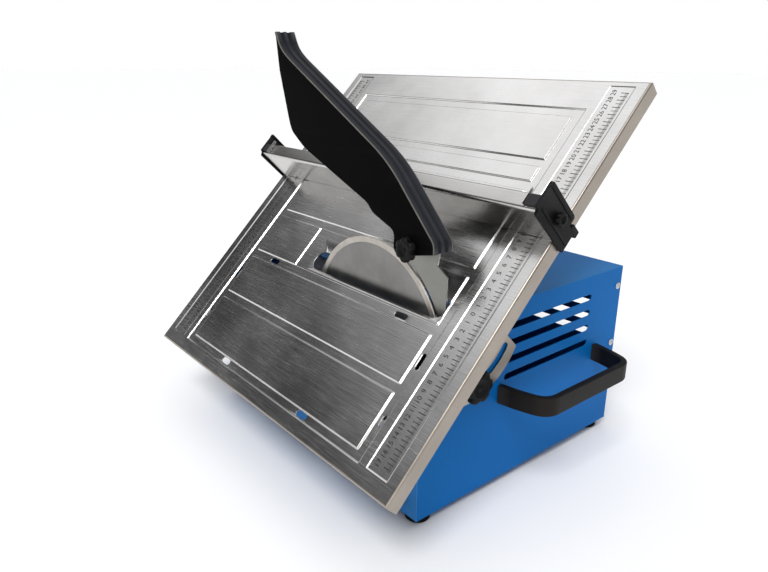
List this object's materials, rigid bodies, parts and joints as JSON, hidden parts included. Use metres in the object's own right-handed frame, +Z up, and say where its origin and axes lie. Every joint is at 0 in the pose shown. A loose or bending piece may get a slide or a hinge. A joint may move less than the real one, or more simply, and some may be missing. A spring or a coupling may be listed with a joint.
{
  "type": "bench stone saw with tilting table",
  "caption": "Bench wet saw for stone slabs: fixed diamond blade in a vented sheet-steel housing, steel table that tilts to 45 degrees, sliding fence and hinged guard.",
  "frame": {"origin": "middle of the bounding box, on the surface the feet stand on", "axes": "+Z up; +Y along the cut, towards the infeed (operator) end; +X towards the raised side of the tilted table"},
  "size_m": [0.4306, 0.5226, 0.5043],
  "materials": {
    "blue_paint": "powder coat with a fine orange-peel texture",
    "stainless": "cold-rolled stainless sheet, brushed along the cut",
    "knife_steel": "ground spring steel",
    "zinc_steel": "bright zinc plate",
    "cast_alloy": "as-cast, bead blasted",
    "blade_steel": "ground steel core with a sintered rim",
    "dark_steel": "oiled steel",
    "black_plastic": "moulded, fine grain",
    "black_rubber": "moulded rubber",
    "green_plastic": "moulded",
    "red_plastic": "moulded",
    "copper": "lacquered copper winding"
  },
  "bodies": {
    "root": {"housing_shell": "blue_paint", "outfeed_end_panel": "blue_paint", "infeed_end_panel": "blue_paint", "outfeed_panel_screw_lower": "zinc_steel", "outfeed_panel_screw_upper": "zinc_steel", "infeed_panel_screw_lower": "zinc_steel", "infeed_panel_screw_upper": "zinc_steel", "handle_bolt_left": "zinc_steel", "handle_bolt_right": "zinc_steel", "bulkhead": "zinc_steel", "knife_bolt_lower": "zinc_steel", "knife_bolt_upper": "zinc_steel", "guard_spacer": "zinc_steel", "guard_bolt": "zinc_steel", "outfeed_tilt_pivot": "zinc_steel", "infeed_tilt_pivot": "zinc_steel", "outfeed_tilt_stud": "zinc_steel", "infeed_tilt_stud": "zinc_steel", "outfeed_left_foot": "black_rubber", "outfeed_right_foot": "black_rubber", "infeed_left_foot": "black_rubber", "infeed_right_foot": "black_rubber", "carry_handle": "black_plastic", "water_basin": "black_plastic", "fan_cover": "black_plastic", "switch_housing": "black_plastic", "cable_gland": "black_plastic", "motor_housing": "cast_alloy", "motor_front_cover": "cast_alloy", "motor_rear_cover": "cast_alloy", "capacitor": "cast_alloy", "knife_mount": "cast_alloy", "front_bearing": "dark_steel", "rear_bearing": "dark_steel", "stator_core": "copper", "riving_knife": "knife_steel"},
    "table": {"table_top": "stainless", "table_stiffener_low": "zinc_steel", "table_stiffener_high": "zinc_steel", "outfeed_tilt_bracket": "stainless", "infeed_tilt_bracket": "stainless"},
    "fence": {"fence_profile": "stainless", "outfeed_fence_clamp": "black_plastic", "infeed_fence_clamp": "black_plastic"},
    "outfeed_fence_knob_body": {"outfeed_fence_knob": "black_plastic"},
    "infeed_fence_knob_body": {"infeed_fence_knob": "black_plastic"},
    "spindle": {"motor_shaft": "zinc_steel", "rotor": "dark_steel", "cooling_fan": "black_plastic", "inner_blade_flange": "zinc_steel", "diamond_blade": "blade_steel", "outer_blade_flange": "zinc_steel", "blade_nut": "zinc_steel"},
    "guard": {"blade_guard": "black_plastic"},
    "guard_knob_body": {"guard_knob": "black_plastic"},
    "outfeed_tilt_knob_body": {"outfeed_tilt_knob": "black_plastic"},
    "infeed_tilt_knob_body": {"infeed_tilt_knob": "black_plastic"},
    "start_button_body": {"start_button": "green_plastic"},
    "stop_button_body": {"stop_button": "red_plastic"},
    "drain_plug_body": {"drain_plug": "black_rubber"}
  },
  "joints": [
    {"name": "table_tilt", "type": "hinge", "parent": "root", "child": "table", "pos_m": [-0.07173, 0.0007, 0.22], "axis": [0, 1, 0], "range_deg": [0, 45]},
    {"name": "fence_slide", "type": "slide", "parent": "table", "child": "fence", "axis": [0.7071, 0, 0.7071], "range_m": [-0.03, 0.16]},
    {"name": "outfeed_fence_knob_turn", "type": "hinge", "parent": "fence", "child": "outfeed_fence_knob_body", "pos_m": [-0.00597, -0.2563, 0.3296], "axis": [0, -1, 0], "continuous": true},
    {"name": "infeed_fence_knob_turn", "type": "hinge", "parent": "fence", "child": "infeed_fence_knob_body", "pos_m": [-0.00597, 0.2577, 0.3296], "axis": [0, 1, 0], "continuous": true},
    {"name": "blade_spin", "type": "hinge", "parent": "root", "child": "spindle", "pos_m": [-0.07473, -0.0573, 0.167], "axis": [1, 0, 0], "continuous": true},
    {"name": "guard_tilt", "type": "hinge", "parent": "root", "child": "guard", "pos_m": [-0.07473, -0.13529, 0.28829], "axis": [1, 0, 0], "range_deg": [-32, 12]},
    {"name": "guard_knob_turn", "type": "hinge", "parent": "root", "child": "guard_knob_body", "pos_m": [-0.09173, -0.13529, 0.28829], "axis": [1, 0, 0], "continuous": true},
    {"name": "outfeed_tilt_knob_turn", "type": "hinge", "parent": "root", "child": "outfeed_tilt_knob_body", "pos_m": [-0.05655, -0.2093, 0.1486], "axis": [0, -1, 0], "continuous": true},
    {"name": "infeed_tilt_knob_turn", "type": "hinge", "parent": "root", "child": "infeed_tilt_knob_body", "pos_m": [-0.05655, 0.2107, 0.1486], "axis": [0, 1, 0], "continuous": true},
    {"name": "start_button_press", "type": "slide", "parent": "root", "child": "start_button_body", "axis": [0, -1, 0], "range_m": [0, 0.003], "stiffness_N_per_m": 600},
    {"name": "stop_button_press", "type": "slide", "parent": "root", "child": "stop_button_body", "axis": [0, -1, 0], "range_m": [0, 0.003], "stiffness_N_per_m": 600},
    {"name": "drain_plug_pull", "type": "slide", "parent": "root", "child": "drain_plug_body", "axis": [-1, 0, 0], "range_m": [0, 0.014]}
  ]
}
